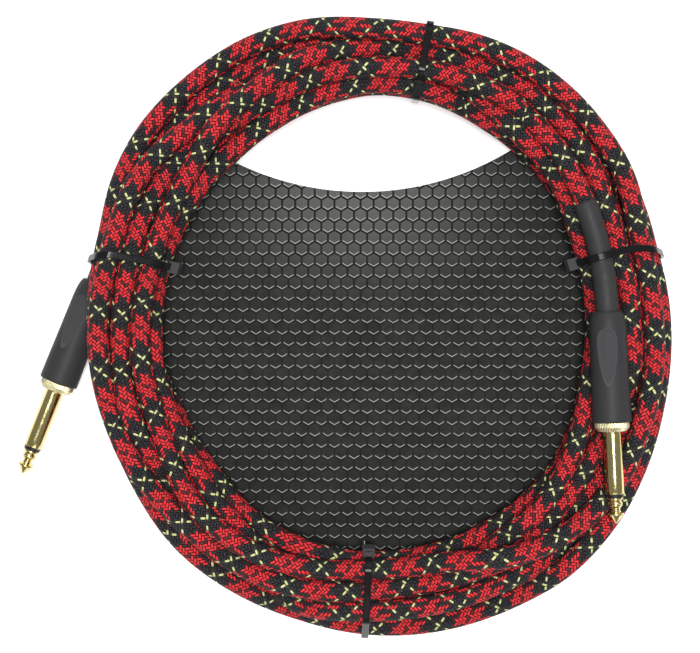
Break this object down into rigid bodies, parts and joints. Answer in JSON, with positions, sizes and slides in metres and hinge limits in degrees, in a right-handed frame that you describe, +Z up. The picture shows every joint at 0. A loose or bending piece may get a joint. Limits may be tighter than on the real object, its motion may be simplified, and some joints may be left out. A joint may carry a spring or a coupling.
{
  "type": "instrument cable",
  "caption": "Braided instrument cable with a straight jack plug on each end, coiled on a backing card and held by cable ties",
  "frame": {"origin": "middle of the footprint, on the surface that the coil lies on", "axes": "+Z up out of the coil's plane; +Y from the bottom tie to the top tie; +X from the left plug to the right plug"},
  "size_m": [0.235, 0.2172, 0.0323],
  "materials": {
    "braid": "woven textile braid, red and black tartan with yellow-green",
    "card": "card with a satin honeycomb print",
    "tie": "moulded nylon",
    "handle": "satin black coating",
    "liner": "clear plastic tube",
    "gold": "polished gold plating",
    "insulator": "moulded",
    "white_insulator": "moulded",
    "tinned": "tin plated",
    "boot": "heat-shrunk tube, semi-matt",
    "jacket": "soft inner jacket",
    "copper": "bare copper strands"
  },
  "bodies": {
    "root": {"cable_coil": "braid", "right_tail": "braid", "backing_card": "card", "tie_top": "tie", "tie_left": "tie", "tie_bottom": "tie", "tie_right": "tie", "left_sleeve_contact": "gold", "left_tip_contact": "gold", "left_tip_ring": "insulator", "left_rod_insulator": "white_insulator", "left_ground_lug": "tinned", "left_lug_washer": "white_insulator", "left_tip_lug": "tinned", "left_boot": "boot", "left_cable_end": "braid", "left_inner_jacket": "jacket", "left_dielectric": "white_insulator", "left_core_wire": "copper", "left_shield_pigtail": "tinned", "left_tip_solder": "tinned", "left_ground_solder": "tinned", "right_sleeve_contact": "gold", "right_tip_contact": "gold", "right_tip_ring": "insulator", "right_rod_insulator": "white_insulator", "right_ground_lug": "tinned", "right_lug_washer": "white_insulator", "right_tip_lug": "tinned", "right_boot": "boot", "right_cable_end": "braid", "right_inner_jacket": "jacket", "right_dielectric": "white_insulator", "right_core_wire": "copper", "right_shield_pigtail": "tinned", "right_tip_solder": "tinned", "right_ground_solder": "tinned"},
    "left_liner": {"left_handle_liner": "liner"},
    "left_handle": {"left_handle": "handle"},
    "right_liner": {"right_handle_liner": "liner"},
    "right_handle": {"right_handle": "handle"}
  },
  "joints": [
    {"name": "left_handle_slide", "type": "slide", "parent": "root", "child": "left_liner", "axis": [0.3665, 0.9304, 0], "range_m": [0, 0.0048]},
    {"name": "left_handle_turn", "type": "hinge", "parent": "left_liner", "child": "left_handle", "pos_m": [-0.09717, -0.00359, 0.0071], "axis": [0.3665, 0.9304, 0], "range_deg": [0, 2160]},
    {"name": "right_handle_slide", "type": "slide", "parent": "root", "child": "right_liner", "axis": [-0.0436, 0.999, 0], "range_m": [0, 0.0048]},
    {"name": "right_handle_turn", "type": "hinge", "parent": "right_liner", "child": "right_handle", "pos_m": [0.09063, -0.01552, 0.0255], "axis": [-0.0436, 0.999, 0], "range_deg": [0, 2160]}
  ],
  "couplings": [
    {"joint": "left_handle_slide", "follows": "left_handle_turn", "m_per_rad": 0.00012732},
    {"joint": "right_handle_slide", "follows": "right_handle_turn", "m_per_rad": 0.00012732}
  ]
}
